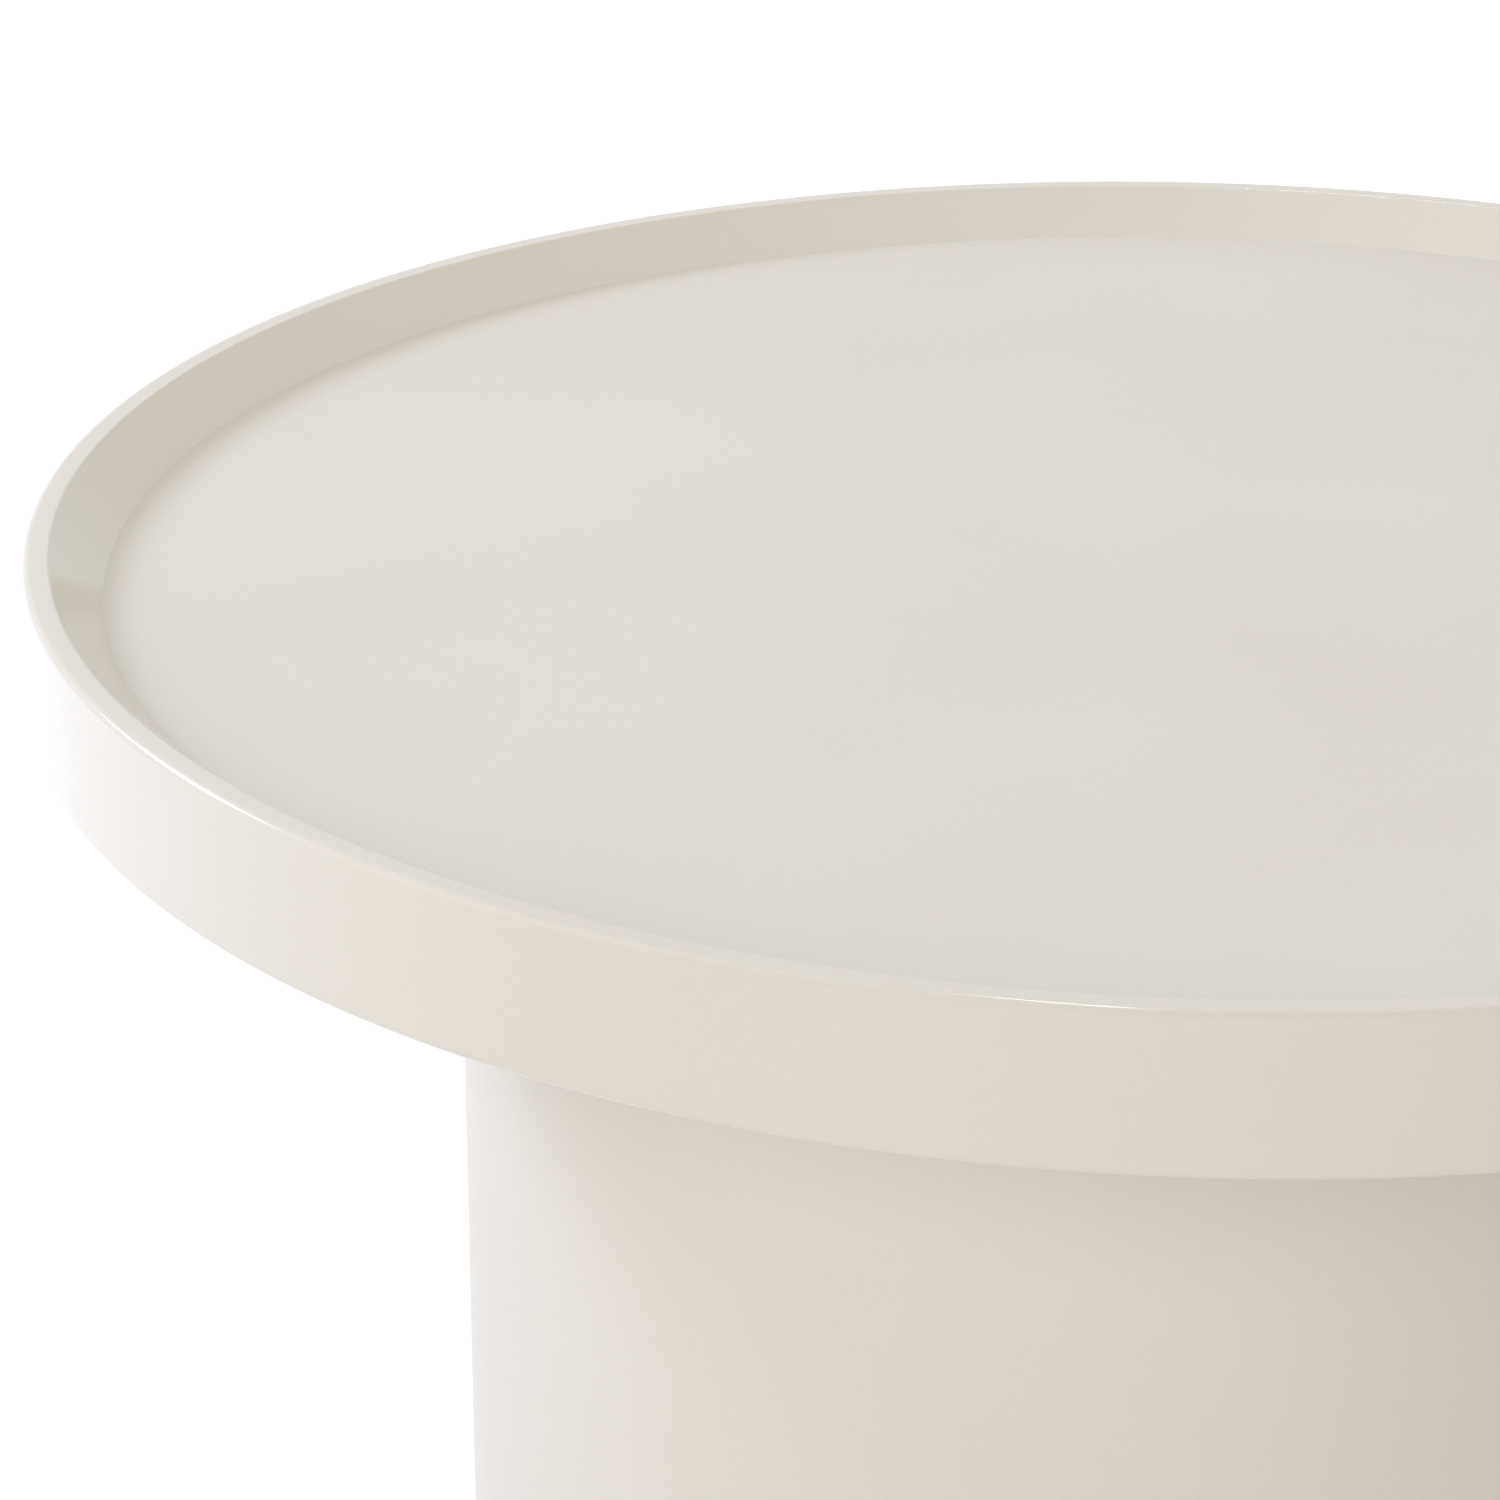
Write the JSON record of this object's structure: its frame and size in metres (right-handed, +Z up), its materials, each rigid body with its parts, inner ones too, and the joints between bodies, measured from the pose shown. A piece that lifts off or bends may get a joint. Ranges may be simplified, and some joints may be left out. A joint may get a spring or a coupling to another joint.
{
  "type": "side table",
  "caption": "Round side table: a shallow tray top with a bevelled rim on a straight hollow drum, lacquered cream, standing on screw levelling feet.",
  "frame": {"origin": "on the floor, under the middle of the table", "axes": "+Z up along the drum's axis; +X to the right and -Y towards the viewer of the picture"},
  "size_m": [0.5, 0.5, 0.45],
  "materials": {
    "cream_lacquer": "cream satin-gloss lacquer, sprayed over sanded board",
    "plywood": "bare sanded birch plywood",
    "beech": "bare beech dowel",
    "zinc_steel": "bright zinc-plated steel",
    "black_steel": "black powder-coated steel plate",
    "grey_nylon": "moulded grey nylon"
  },
  "bodies": {
    "table": {"tray_rim": "cream_lacquer", "tray_panel": "cream_lacquer", "tray_inserts": "zinc_steel", "tray_bolts": "zinc_steel", "tray_washers": "zinc_steel", "locating_dowels": "beech", "drum_shell": "cream_lacquer", "drum_top_disc": "plywood", "drum_foot_ring": "plywood", "ballast_ring": "black_steel", "ballast_screws": "zinc_steel", "leveller_nuts": "zinc_steel"},
    "pad_1": {"leveller_pad_1": "grey_nylon"},
    "stem_1": {"leveller_stem_1": "zinc_steel"},
    "pad_2": {"leveller_pad_2": "grey_nylon"},
    "stem_2": {"leveller_stem_2": "zinc_steel"},
    "pad_3": {"leveller_pad_3": "grey_nylon"},
    "stem_3": {"leveller_stem_3": "zinc_steel"},
    "pad_4": {"leveller_pad_4": "grey_nylon"},
    "stem_4": {"leveller_stem_4": "zinc_steel"}
  },
  "joints": [
    {"name": "pad_slide_1", "type": "slide", "parent": "table", "child": "pad_1", "axis": [0, 0, 1], "range_m": [-0.008, 0]},
    {"name": "stem_turn_1", "type": "hinge", "parent": "pad_1", "child": "stem_1", "pos_m": [0.09751, 0.09751, 0], "axis": [0, 0, 1], "range_deg": [-2304, 0]},
    {"name": "pad_slide_2", "type": "slide", "parent": "table", "child": "pad_2", "axis": [0, 0, 1], "range_m": [-0.008, 0]},
    {"name": "stem_turn_2", "type": "hinge", "parent": "pad_2", "child": "stem_2", "pos_m": [-0.09751, 0.09751, 0], "axis": [0, 0, 1], "range_deg": [-2304, 0]},
    {"name": "pad_slide_3", "type": "slide", "parent": "table", "child": "pad_3", "axis": [0, 0, 1], "range_m": [-0.008, 0]},
    {"name": "stem_turn_3", "type": "hinge", "parent": "pad_3", "child": "stem_3", "pos_m": [-0.09751, -0.09751, 0], "axis": [0, 0, 1], "range_deg": [-2304, 0]},
    {"name": "pad_slide_4", "type": "slide", "parent": "table", "child": "pad_4", "axis": [0, 0, 1], "range_m": [-0.008, 0]},
    {"name": "stem_turn_4", "type": "hinge", "parent": "pad_4", "child": "stem_4", "pos_m": [0.09751, -0.09751, 0], "axis": [0, 0, 1], "range_deg": [-2304, 0]}
  ],
  "couplings": [
    {"joint": "stem_turn_1", "follows": "pad_slide_1", "rad_per_m": 5026.5},
    {"joint": "stem_turn_2", "follows": "pad_slide_2", "rad_per_m": 5026.5},
    {"joint": "stem_turn_3", "follows": "pad_slide_3", "rad_per_m": 5026.5},
    {"joint": "stem_turn_4", "follows": "pad_slide_4", "rad_per_m": 5026.5}
  ]
}
